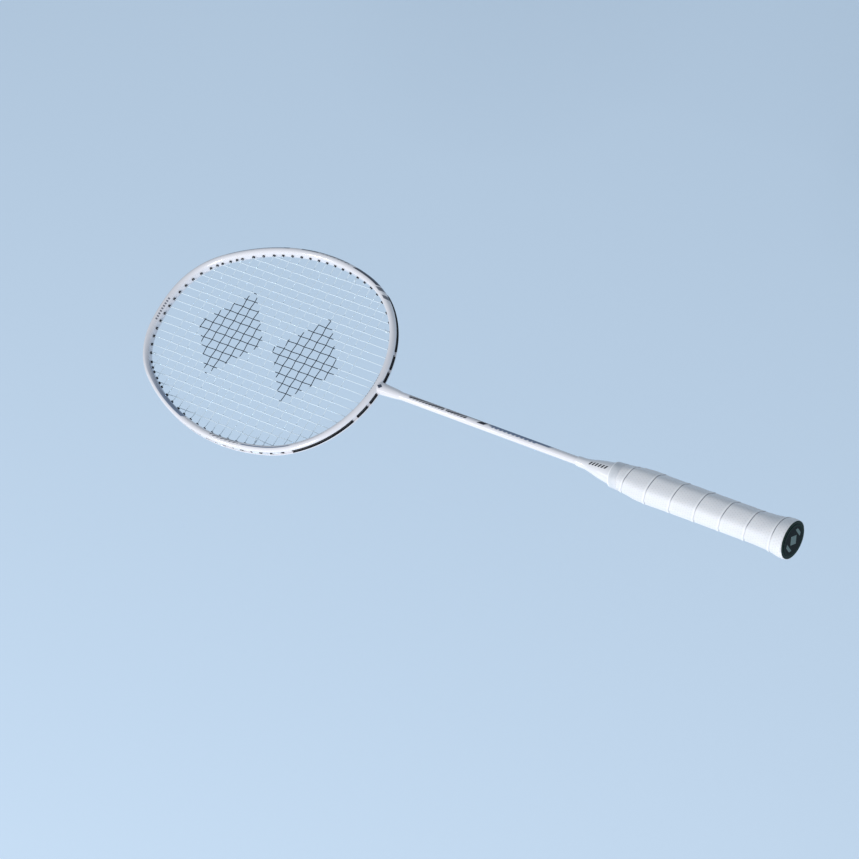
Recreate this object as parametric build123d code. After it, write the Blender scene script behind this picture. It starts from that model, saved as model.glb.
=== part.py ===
from build123d import *
import os
from math import acos, asin, ceil, cos, degrees, pi, radians, sin, sqrt, tan

# A strung badminton racket, lying flat.  Millimetres.
# Origin: centre of the flat end face of the butt.  +Y runs along the shaft to the
# tip of the head, +Z is the front face of the string bed and +X is to its side.

# Overall
TOTAL_LENGTH = 675.0

# Head frame: a hollow oval ring.  Its inner wall is a chain of tangent arcs, the
# same on both halves: tip, shoulder, side and lower arc.
FRAME_THICK = 6.4
FRAME_HEIGHT = 10.6
FRAME_INNER_FILLET = 3.2
FRAME_OUTER_FILLET = 3.0
FRAME_WALL = 1.0
GROOVE_WIDTH = 3.4
GROOVE_DEPTH = 1.2
GROOVE_FILLET = 0.35
TIP_RADIUS = 125.4
SHOULDER_RADIUS = 63.8
SIDE_RADIUS = 177.8
TIP_END = 83.3
SHOULDER_END = 34.8
SIDE_END = -15.4

# String pattern: 22 mains on an even pitch and 21 crosses
MAINS_PER_HALF = 11
MAIN_HALF_GAP = 4.07
MAIN_PITCH = 7.76
CROSSES = 21
CROSS_PITCH = 9.31
FOURTH_CROSS_Y = 616.4
TOP_CROSS_GAPS = (9.6, 10.0, 10.5)
STRING_RADIUS = 0.34
MAIN_LEVEL = -0.4
CROSS_LEVEL = 0.4
STRING_BEND = 1.0
KNOT_RADIUS = 0.75
TAIL_LENGTH = 2.0
GROOVE_STEP = 6.0

# Grommets, measured outward from the inner wall of the frame
BORE_RADIUS = 0.8
SHARED_BORE_RADIUS = 0.98
BARREL_WALL = 0.35
HOLE_CLEARANCE = 0.05
BARREL_START = -1.2
MOUTH_BEND = -1.6
FLANGE_RADIUS = 1.5
FLANGE_THICK = 0.3
FLANGE_GAP = 0.03
STRING_CLEARANCE = 0.1
STRIP_HALF_WIDTH = 1.62
STRIP_LIP = 0.5
STRIP_PROUD = 0.5
STRIP_FILLET = 0.4
STRIP_END_MARGIN = 2.0
BARREL_OVERRUN = 0.8
THROAT_EXIT_X = (8.1, 13.6)

# Throat and shaft
JOINT_BOTTOM = 398.0
JOINT_SPIGOT_RADIUS = 2.25
JOINT_SPIGOT_LENGTH = 28.0
SHAFT_RADIUS = 3.5
SHAFT_BORE_RADIUS = 2.3
SHAFT_START = 62.0

# Handle
CORE_START = 2.6
CORE_FLARE_END = 28.0
CORE_END = 150.0
CORE_HALF_X = 11.8
CORE_HALF_Z = 10.6
CORE_BUTT_HALF_X = 14.2
CORE_BUTT_HALF_Z = 12.9
CORE_FLAT_X = 0.5
CORE_FLAT_Z = 0.45
NECK_RADIUS = 8.0
NECK_LENGTH = 14.0
GLUE_GAP = 0.05
CONE_END = 211.0
CAP_BACK = 0.3
CAP_PLATE_FRONT = 2.5
CAP_FRONT = 7.5
CAP_HALF_X = 16.2
CAP_HALF_Z = 14.8
CAP_SKIRT = 0.9
CAP_FILLET = 0.9
BADGE_HALF_X = 14.0
BADGE_HALF_Z = 12.6
BADGE_THICK = 1.4
BADGE_CHAMFER = 0.25
BAND_START = 165.0
BAND_END = 173.7
BAND_THICK = 0.3
GRIP_START = 2.6
GRIP_END = 172.2

# Outer shapes as (distance from the butt, half width in X, half height in Z)
JOINT_STATIONS = ((398.0, 3.5, 3.5), (406.0, 4.5, 4.2), (414.0, 5.0, 4.7), (424.0, 6.2, 5.0))
CONE_STATIONS = (
    (150.0, 11.5, 10.4),
    (165.0, 10.6, 9.8),
    (175.0, 9.7, 9.3),
    (184.0, 8.3, 8.1),
    (191.0, 7.0, 6.9),
    (197.0, 5.6, 5.6),
    (203.0, 4.6, 4.6),
    (211.0, 4.15, 4.15),
)
GRIP_STATIONS = (
    (2.6, 16.5, 15.1),
    (5.0, 16.7, 15.3),
    (8.0, 16.3, 14.9),
    (14.0, 15.2, 13.9),
    (22.0, 14.1, 12.85),
    (32.0, 13.55, 12.3),
    (70.0, 13.55, 12.3),
    (120.0, 13.6, 12.35),
    (136.0, 13.95, 12.7),
    (147.0, 13.4, 12.3),
    (157.0, 12.0, 11.2),
    (168.0, 11.1, 10.5),
    (177.0, 10.5, 10.0),
)

GROOVE_FLOOR = FRAME_THICK - GROOVE_DEPTH
FLANGE_START = GROOVE_FLOOR + FLANGE_GAP
STRING_LINE = FLANGE_START + FLANGE_THICK + STRING_RADIUS + STRING_CLEARANCE


# ---------------------------------------------------------------- the ring

def right_arcs():
    """The inner wall's right half, as (centre, radius, first angle, last angle)."""
    tip_centre = Vector(0, TOTAL_LENGTH - FRAME_THICK - TIP_RADIUS)
    toward = Vector(cos(radians(TIP_END)), sin(radians(TIP_END)))
    shoulder_centre = tip_centre + toward * (TIP_RADIUS - SHOULDER_RADIUS)
    toward = Vector(cos(radians(SHOULDER_END)), sin(radians(SHOULDER_END)))
    side_centre = shoulder_centre + toward * (SHOULDER_RADIUS - SIDE_RADIUS)
    # The lower arc's radius is what brings its centre back to the middle.
    toward = Vector(cos(radians(SIDE_END)), sin(radians(SIDE_END)))
    lower_radius = SIDE_RADIUS + side_centre.X / toward.X
    lower_centre = side_centre + toward * (SIDE_RADIUS - lower_radius)
    return (
        (tip_centre, TIP_RADIUS, TIP_END, 90.0),
        (shoulder_centre, SHOULDER_RADIUS, SHOULDER_END, TIP_END),
        (side_centre, SIDE_RADIUS, SIDE_END, SHOULDER_END),
        (lower_centre, lower_radius, -90.0, SIDE_END),
    )


RIGHT_ARCS = right_arcs()
LOWER_CENTRE, LOWER_RADIUS = RIGHT_ARCS[3][:2]


def mirrored(point):
    return Vector(-point.X, point.Y, point.Z)


def ring_arcs():
    """The whole inner wall, counter-clockwise, as arcs that each span their full length."""
    tip, shoulder, side, lower = RIGHT_ARCS
    arcs = [(tip[0], tip[1], TIP_END, 180 - TIP_END), shoulder, side]
    arcs.append((lower[0], lower[1], -180 - SIDE_END, SIDE_END))
    for centre, radius, first, last in (side, shoulder):
        arcs.append((mirrored(centre), radius, 180 - last, 180 - first))
    return arcs


def ring_point(angle, outward, level=0.0):
    """The point outward from the wall where the wall's normal has this angle, -90 to 270."""
    folded = angle if angle <= 90 else 180 - angle
    for centre, radius, first, last in RIGHT_ARCS:
        if first <= folded <= last:
            break
    reach = radius + outward
    point = Vector(centre.X + reach * cos(radians(folded)), centre.Y + reach * sin(radians(folded)), level)
    return point if angle <= 90 else mirrored(point)


def angle_at_x(x, lower=False):
    """Where the right half of the wall has this x, as the normal's angle."""
    for centre, radius, first, last in RIGHT_ARCS:
        cosine = (x - centre.X) / radius
        if abs(cosine) <= 1:
            angle = degrees(acos(cosine)) * (-1 if lower else 1)
            if first <= angle <= last:
                return angle
    raise ValueError(f"the wall never reaches x = {x}")


def angle_at_y(y):
    """Where the right half of the wall has this y, as the normal's angle."""
    for centre, radius, first, last in RIGHT_ARCS:
        sine = (y - centre.Y) / radius
        if abs(sine) <= 1 and first <= degrees(asin(sine)) <= last:
            return degrees(asin(sine))
    raise ValueError(f"the wall never reaches y = {y}")


def radial_plane(centre, radius, angle):
    """A plane across the ring: x outward from the wall, y up."""
    outward = Vector(cos(radians(angle)), sin(radians(angle)))
    return Plane(origin=centre + outward * radius, x_dir=outward, z_dir=outward.cross(Vector(0, 0, 1)))


def revolved(section, centre, radius, first, last):
    """A flat section carried round one arc of the ring."""
    face = radial_plane(centre, radius, first) * section
    return revolve(face, Axis((centre.X, centre.Y, 0), (0, 0, 1)), revolution_arc=last - first)


def frame_skin():
    """The frame's solid section: rounded, with the string groove in its outer face."""
    block = Pos(FRAME_THICK / 2, 0) * Rectangle(FRAME_THICK, FRAME_HEIGHT)
    block = fillet(block.vertices().group_by(Axis.X)[0], FRAME_INNER_FILLET)
    block = fillet(block.vertices().group_by(Axis.X)[-1], FRAME_OUTER_FILLET)
    block = block - Pos(FRAME_THICK, 0) * Rectangle(2 * GROOVE_DEPTH, GROOVE_WIDTH)
    outer = block.vertices().group_by(Axis.X)[-1]
    return fillet(outer.filter_by(lambda rim: abs(rim.Y) < GROOVE_WIDTH / 2 + 0.01), GROOVE_FILLET)


def frame_cavity():
    """The hollow of the frame, one wall in from the skin and from the groove's floor."""
    depth = GROOVE_FLOOR - 2 * FRAME_WALL
    height = FRAME_HEIGHT - 2 * FRAME_WALL
    return Pos(FRAME_WALL + depth / 2, 0) * RectangleRounded(depth, height, depth / 2 - 0.1)


# ------------------------------------------------------------- string pattern

def cross_heights():
    """The y of each cross on the right wall, from the tip down."""
    heights = [FOURTH_CROSS_Y - CROSS_PITCH * step for step in range(CROSSES - 5)]
    for gap in TOP_CROSS_GAPS:
        heights.insert(0, heights[0] + gap)
    return heights


def main_angles():
    """The normals' angles at the upper and lower hole of each main on the right half."""
    places = [MAIN_HALF_GAP + MAIN_PITCH * step for step in range(MAINS_PER_HALF)]
    upper = [angle_at_x(x) for x in places]
    lower = [angle_at_x(x, lower=True) for x in places]
    # The outermost main shares the hole of the 18th cross.
    lower[-1] = angle_at_y(cross_heights()[17])
    return upper, lower


UPPER_MAINS, LOWER_MAINS = main_angles()


def cross_angles():
    """The normal's angle at each cross's hole on the right half."""
    angles = [angle_at_y(y) for y in cross_heights()]
    # These crosses share a hole with an outer main.
    angles[3] = UPPER_MAINS[9]
    angles[5] = UPPER_MAINS[10]
    return angles + [LOWER_MAINS[9], LOWER_MAINS[8]]


CROSS_ANGLES = cross_angles()
SHARED_ANGLES = (UPPER_MAINS[9], UPPER_MAINS[10], LOWER_MAINS[10])
ALL_SHARED_ANGLES = SHARED_ANGLES + (LOWER_MAINS[8], LOWER_MAINS[9])
STRIP_ANGLES = LOWER_MAINS[4:10]
MAIN_TIE = CROSS_ANGLES[15]
UPPER_CROSS_TIE = UPPER_MAINS[5]
LOWER_CROSS_TIE = LOWER_MAINS[6]


def exit_angle(angle):
    """The angle at which a hole leaves the groove: the holes beside the throat lean away from it."""
    folded = angle if angle <= 90 else 180 - angle
    for hole, x in zip(LOWER_MAINS, THROAT_EXIT_X):
        if abs(folded - hole) < 0.01:
            folded = -degrees(acos(x / (LOWER_RADIUS + GROOVE_FLOOR)))
    return folded if angle <= 90 else 180 - folded


def hole_line(angle, start, end):
    """Two points on a hole's axis, at these distances outward from the inner wall."""
    mouth = ring_point(angle, 0)
    floor = ring_point(exit_angle(angle), GROOVE_FLOOR)
    along = (floor - mouth) / GROOVE_FLOOR
    return mouth + along * start, mouth + along * end


def rod(start, end, radius):
    """A round bar from one point to another."""
    along = end - start
    return Plane(origin=start, z_dir=along) * extrude(Circle(radius), along.length)


def both_halves(angles):
    return list(angles) + [180 - angle for angle in angles]


# -------------------------------------------------------------------- strings

def unit(vector):
    return vector / vector.length


def rounded_route(points):
    """Straight runs joined by tangent arcs.  A bend round a grommet is tight, a gentle one is wide."""
    edges = []
    last = points[0]
    for before, corner, after in zip(points, points[1:], points[2:]):
        back, on = unit(before - corner), unit(after - corner)
        turn = pi - radians(back.get_angle(on))
        if turn < 0.001:
            continue
        room = 0.45 * min((before - corner).length, (after - corner).length)
        reach = min(room, STRING_BEND * tan(turn / 2)) if turn > radians(20) else room
        radius = reach / tan(turn / 2)
        inward = unit(back + on)
        middle = corner + inward * (sqrt(radius**2 + reach**2) - radius)
        edges.append(Edge.make_line(last, corner + back * reach))
        edges.append(Edge.make_three_point_arc(corner + back * reach, middle, corner + on * reach))
        last = corner + on * reach
    edges.append(Edge.make_line(last, points[-1]))
    return Wire(edges)


def passage(angle, level):
    """A string's way out through a hole: just before the barrel's mouth, then on the groove line."""
    inside, outside = hole_line(angle, MOUTH_BEND, STRING_LINE)
    return [Vector(inside.X, inside.Y, level), Vector(outside.X, outside.Y, level)]


def groove_run(first, last, level):
    """Points along the groove between the exits of two holes, leaving the exits out."""
    start, end = exit_angle(first), exit_angle(last)
    length = (ring_point(start, STRING_LINE) - ring_point(end, STRING_LINE)).length
    steps = ceil(length / GROOVE_STEP)
    return [ring_point(start + (end - start) * step / steps, STRING_LINE, level) for step in range(1, steps)]


def loop(first, last, level):
    """Out through one hole, along the groove and in through the other."""
    return passage(first, level) + groove_run(first, last, level) + passage(last, level)[::-1]


def tail(angle, level):
    """Where a string ends, at its knot just inside a tie-off hole."""
    end = hole_line(angle, MOUTH_BEND - TAIL_LENGTH, 0)[0]
    return [Vector(end.X, end.Y, level)]


def main_route():
    """From the middle of the tip outward over the right half, and its mirror image before it."""
    right = [passage(UPPER_MAINS[0], MAIN_LEVEL)[1], passage(UPPER_MAINS[0], MAIN_LEVEL)[0]]
    for step in range(MAINS_PER_HALF - 1):
        holes = LOWER_MAINS if step % 2 == 0 else UPPER_MAINS
        right += loop(holes[step], holes[step + 1], MAIN_LEVEL)
    right += loop(LOWER_MAINS[-1], MAIN_TIE, MAIN_LEVEL)
    right += tail(MAIN_TIE, MAIN_LEVEL)
    middle = ring_point(90, STRING_LINE, MAIN_LEVEL)
    return [mirrored(point) for point in right[::-1]] + [middle] + right


def cross_route():
    """From the tie-off on the upper left, across and back down to the lower right."""
    points = tail(180 - UPPER_CROSS_TIE, CROSS_LEVEL)
    points += loop(180 - UPPER_CROSS_TIE, 180 - CROSS_ANGLES[0], CROSS_LEVEL)
    for step in range(CROSSES - 1):
        above, below = CROSS_ANGLES[step], CROSS_ANGLES[step + 1]
        if step % 2 == 0:
            points += loop(above, below, CROSS_LEVEL)
        else:
            points += loop(180 - above, 180 - below, CROSS_LEVEL)
    points += loop(CROSS_ANGLES[-1], LOWER_CROSS_TIE, CROSS_LEVEL)
    return points + tail(LOWER_CROSS_TIE, CROSS_LEVEL)


def string_along(points, side):
    """One string, with a knot at each end on the given side of the bed."""
    route = rounded_route(points)
    start = Plane(origin=points[0], z_dir=points[1] - points[0])
    string = sweep(start * Circle(STRING_RADIUS), route)
    print("string length", route.length, "and volume over section", string.volume / (pi * STRING_RADIUS**2))
    for end in (points[0], points[-1]):
        string = string + Pos(end.X, end.Y, end.Z + side * KNOT_RADIUS / 2) * Sphere(KNOT_RADIUS)
    return string


def main_string():
    return string_along(main_route(), -1)


def cross_string():
    return string_along(cross_route(), 1)


# ------------------------------------------------------------------- the head

def head_frame():
    """The hollow ring, drilled through both walls at every grommet."""
    skin = frame_skin() - frame_cavity()
    ring = revolved(skin, *ring_arcs()[0])
    for arc in ring_arcs()[1:]:
        ring = ring + revolved(skin, *arc)
    holes = sorted(set(UPPER_MAINS + LOWER_MAINS + CROSS_ANGLES))
    drills = []
    for angle in both_halves(holes):
        radius = bore_radius(angle) + BARREL_WALL + HOLE_CLEARANCE
        drills.append(rod(*hole_line(angle, -1, FRAME_THICK), radius))
    return ring - drills


def bore_radius(angle):
    """A hole that a main and a cross share is wider."""
    folded = angle if angle <= 90 else 180 - angle
    shared = any(abs(folded - other) < 0.01 for other in ALL_SHARED_ANGLES)
    return SHARED_BORE_RADIUS if shared else BORE_RADIUS


def barrel(angle, end):
    """The tube of a grommet, through both walls of the frame and into its flange."""
    return rod(*hole_line(angle, BARREL_START, end), bore_radius(angle) + BARREL_WALL)


def bore(angle):
    return rod(*hole_line(angle, BARREL_START - 1, FRAME_THICK), bore_radius(angle))


def grommet(angle):
    """A single grommet: a tube with a round flange in the groove."""
    flange = rod(*hole_line(angle, FLANGE_START, FLANGE_START + FLANGE_THICK), FLANGE_RADIUS)
    return barrel(angle, FLANGE_START + FLANGE_THICK / 2) + flange - bore(angle)


def group(angles):
    return Compound(children=[grommet(angle) for angle in angles])


def side_angles():
    """The crosses' own single holes on the right half."""
    taken = list(SHARED_ANGLES) + list(STRIP_ANGLES)
    return [angle for angle in CROSS_ANGLES if angle not in taken]


def tip_grommets():
    return group(both_halves(UPPER_MAINS[:9]))


def right_side_grommets():
    return group(side_angles())


def left_side_grommets():
    return group([180 - angle for angle in side_angles()])


def shared_grommets():
    return group(both_halves(SHARED_ANGLES))


def grommet_strip(angles):
    """Several grommets moulded on one channel that fills the groove of the lower arc."""
    exits = [exit_angle(angle) for angle in angles]
    margin = degrees(STRIP_END_MARGIN / (LOWER_RADIUS + GROOVE_FLOOR))
    first, last = min(exits) - margin, max(exits) + margin
    depth = FRAME_THICK + STRIP_PROUD - FLANGE_START
    section = Pos(FLANGE_START + depth / 2, 0) * Rectangle(depth, 2 * STRIP_HALF_WIDTH)
    section = fillet(section.vertices().group_by(Axis.X)[-1], STRIP_FILLET)
    strip = revolved(section, LOWER_CENTRE, LOWER_RADIUS, first, last)
    for angle in angles:
        strip = strip + barrel(angle, FLANGE_START + BARREL_OVERRUN)
    # The channel also trims the tops of the barrels that lean.
    channel = Rectangle(depth, 2 * (STRIP_HALF_WIDTH - STRIP_LIP))
    channel = Pos(FLANGE_START + FLANGE_THICK + depth / 2, 0) * channel
    strip = strip - revolved(channel, LOWER_CENTRE, LOWER_RADIUS, first - 1, last + 1)
    for angle in angles:
        strip = strip - bore(angle)
    return strip


def t_joint():
    """The throat: flares from the shaft into the frame, with a tongue in the groove and a spigot."""
    body = lofted(JOINT_STATIONS)
    spigot = between(JOINT_BOTTOM - JOINT_SPIGOT_LENGTH, JOINT_BOTTOM, JOINT_SPIGOT_RADIUS)
    seat = revolved(frame_skin(), LOWER_CENTRE, LOWER_RADIUS, -105, -75)
    return body + spigot - seat


# ------------------------------------------------------------ shaft and handle

def across(y):
    """A plane across the handle, x to the side and y down through the bed."""
    return Plane(origin=(0, y, 0), x_dir=(1, 0, 0), z_dir=(0, 1, 0))


def lofted(stations, ruled=False, extra=0.0):
    """A body through elliptic stations, grown all round by extra."""
    sections = [across(y) * Ellipse(half_x + extra, half_z + extra) for y, half_x, half_z in stations]
    return loft(sections, ruled=ruled)


def octagon(y, half_x, half_z):
    """The handle's eight-sided section."""
    flat_x, flat_z = half_x * CORE_FLAT_X, half_z * CORE_FLAT_Z
    right = [(flat_x, -half_z), (half_x, -flat_z), (half_x, flat_z), (flat_x, half_z)]
    corners = right + [(-x, z) for x, z in right[::-1]]
    return across(y) * make_face(Polyline(*corners, close=True))


def core_body():
    """The handle's outer shape: flared at the butt, then straight."""
    butt = octagon(CORE_START, CORE_BUTT_HALF_X, CORE_BUTT_HALF_Z)
    waist = octagon(CORE_FLARE_END, CORE_HALF_X, CORE_HALF_Z)
    return loft([butt, waist], ruled=True) + extrude(waist, CORE_END - CORE_FLARE_END)


def between(start, end, radius):
    """A round bar on the racket's axis."""
    return rod(Vector(0, start, 0), Vector(0, end, 0), radius)


def shaft():
    """The tube from the handle up to the throat."""
    tube = between(SHAFT_START, JOINT_BOTTOM, SHAFT_RADIUS)
    return tube - between(SHAFT_START, JOINT_BOTTOM, SHAFT_BORE_RADIUS)


def handle_core():
    """The wooden handle, with a neck for the cone and a bore for the shaft."""
    neck = between(CORE_END, CORE_END + NECK_LENGTH, NECK_RADIUS)
    return core_body() + neck - between(SHAFT_START, CONE_END, SHAFT_RADIUS + GLUE_GAP)


def cone_cap():
    """The tapered cap between the handle and the shaft."""
    socket = between(CORE_END - 1, CORE_END + NECK_LENGTH + GLUE_GAP, NECK_RADIUS + GLUE_GAP)
    return lofted(CONE_STATIONS) - socket - between(CORE_END, CONE_END + 1, SHAFT_RADIUS + GLUE_GAP)


def slab(start, end):
    """Everything between two distances from the butt."""
    return Pos(0, (start + end) / 2, 0) * Box(60, end - start, 60)


def grip_tape():
    """The wound grip as one padded sleeve over the handle and the foot of the cone."""
    sleeve = lofted(GRIP_STATIONS, ruled=True) & slab(GRIP_START, GRIP_END)
    return sleeve - core_body() - cap_skirt() - lofted(CONE_STATIONS)


def grip_finishing_tape():
    """The thin band that holds down the upper end of the grip."""
    band = lofted(GRIP_STATIONS, ruled=True, extra=BAND_THICK) & slab(BAND_START, BAND_END)
    return band - lofted(GRIP_STATIONS, ruled=True)


def cap_skirt():
    """The cap's thin collar, which the grip covers."""
    outline = Ellipse(CAP_HALF_X - CAP_SKIRT, CAP_HALF_Z - CAP_SKIRT)
    return extrude(across(CAP_PLATE_FRONT) * outline, CAP_FRONT - CAP_PLATE_FRONT)


def butt_cap():
    """The cup over the end of the handle, with a shallow recess for the badge."""
    plate = extrude(across(CAP_BACK) * Ellipse(CAP_HALF_X, CAP_HALF_Z), CAP_PLATE_FRONT - CAP_BACK)
    plate = fillet(plate.edges().group_by(Axis.Y)[0], CAP_FILLET)
    outline = Ellipse(BADGE_HALF_X + GLUE_GAP, BADGE_HALF_Z + GLUE_GAP)
    recess = extrude(across(0) * outline, BADGE_THICK + GLUE_GAP)
    return plate + cap_skirt() - recess - core_body()


def butt_badge():
    """The flat oval plate in the end of the butt."""
    plate = extrude(across(0) * Ellipse(BADGE_HALF_X, BADGE_HALF_Z), BADGE_THICK)
    return chamfer(plate.edges().group_by(Axis.Y)[0], BADGE_CHAMFER)


NODES = {
    "head_frame": head_frame,
    "t_joint": t_joint,
    "shaft": shaft,
    "cone_cap": cone_cap,
    "handle_core": handle_core,
    "butt_cap": butt_cap,
    "butt_badge": butt_badge,
    "grip_tape": grip_tape,
    "grip_finishing_tape": grip_finishing_tape,
    "main_string": main_string,
    "cross_string": cross_string,
    "tip_grommets": tip_grommets,
    "left_side_grommets": left_side_grommets,
    "right_side_grommets": right_side_grommets,
    "shared_grommets": shared_grommets,
    "lower_strip_left": lambda: grommet_strip([180 - angle for angle in STRIP_ANGLES]),
    "lower_strip_right": lambda: grommet_strip(STRIP_ANGLES),
    "throat_strip_inner_left": lambda: grommet_strip([180 - angle for angle in LOWER_MAINS[:2]]),
    "throat_strip_inner_right": lambda: grommet_strip(LOWER_MAINS[:2]),
    "throat_strip_outer_left": lambda: grommet_strip([180 - angle for angle in LOWER_MAINS[2:4]]),
    "throat_strip_outer_right": lambda: grommet_strip(LOWER_MAINS[2:4]),
}

os.makedirs("parts", exist_ok=True)
for name, build in NODES.items():
    export_step(build(), f"parts/{name}.step")
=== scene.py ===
from math import acos, asin, ceil, cos, degrees, pi, radians, sin, tau

import bmesh
import bpy
from mathutils import Matrix, Vector, noise


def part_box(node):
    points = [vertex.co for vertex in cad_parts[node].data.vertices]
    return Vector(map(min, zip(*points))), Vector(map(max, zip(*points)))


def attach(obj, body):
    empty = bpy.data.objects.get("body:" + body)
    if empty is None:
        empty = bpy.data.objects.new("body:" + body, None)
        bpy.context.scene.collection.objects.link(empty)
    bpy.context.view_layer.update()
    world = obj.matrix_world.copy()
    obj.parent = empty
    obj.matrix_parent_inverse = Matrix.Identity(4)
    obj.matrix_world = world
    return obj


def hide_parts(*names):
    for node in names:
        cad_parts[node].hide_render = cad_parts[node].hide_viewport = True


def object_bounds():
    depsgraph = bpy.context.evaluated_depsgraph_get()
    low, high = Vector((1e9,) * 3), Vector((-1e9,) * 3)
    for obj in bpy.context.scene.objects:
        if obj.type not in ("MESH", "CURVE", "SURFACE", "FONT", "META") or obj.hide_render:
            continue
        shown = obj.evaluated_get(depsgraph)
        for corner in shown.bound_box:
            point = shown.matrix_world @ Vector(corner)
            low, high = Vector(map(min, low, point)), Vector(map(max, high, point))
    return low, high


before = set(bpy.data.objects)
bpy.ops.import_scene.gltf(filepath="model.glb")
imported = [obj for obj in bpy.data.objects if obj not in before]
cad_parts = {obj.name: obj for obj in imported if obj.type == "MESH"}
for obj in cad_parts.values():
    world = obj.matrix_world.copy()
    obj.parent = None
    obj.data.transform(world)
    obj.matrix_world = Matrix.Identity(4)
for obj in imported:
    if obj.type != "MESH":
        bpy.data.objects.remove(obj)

cad_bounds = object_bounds()

MM = 0.001

# Driving dimensions of the head, as the CAD part has them. Angles are in degrees.
FRAME_THICK = 6.4 * MM
TIP_RADIUS = 125.4 * MM
SHOULDER_RADIUS = 63.8 * MM
SIDE_RADIUS = 177.8 * MM
TIP_END = 83.3
SHOULDER_END = 34.8
SIDE_END = -15.4
MAINS_PER_HALF = 11
MAIN_HALF_GAP = 4.07 * MM
MAIN_PITCH = 7.76 * MM
CROSSES = 21
CROSS_PITCH = 9.31 * MM
FOURTH_CROSS_Y = 616.4 * MM
TOP_CROSS_GAPS = (9.6 * MM, 10.0 * MM, 10.5 * MM)
GROOVE_FLOOR = 5.2 * MM
STRING_LINE = 5.97 * MM
STRING_RADIUS = 0.34 * MM
LAYER = 0.4 * MM
WEAVE = 0.36 * MM
MOUTH_BEND = -1.6 * MM
GROOVE_STEP = 6.0 * MM
THROAT_EXIT_X = (8.1 * MM, 13.6 * MM)

HEAD_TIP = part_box("head_frame")[1].y
GRIP_LOW, GRIP_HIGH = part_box("grip_tape")


def placed(name, data):
    """A new object with this data, linked into the scene."""
    piece = bpy.data.objects.new(name, data)
    bpy.context.scene.collection.objects.link(piece)
    return piece


def finished(name, mesh, material):
    """A new object from an edited mesh, with one material."""
    bmesh.ops.recalc_face_normals(mesh, faces=mesh.faces)
    data = bpy.data.meshes.new(name)
    mesh.to_mesh(data)
    mesh.free()
    data.materials.append(material)
    return placed(name, data)


# ------------------------------------------------------------------ materials

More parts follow.
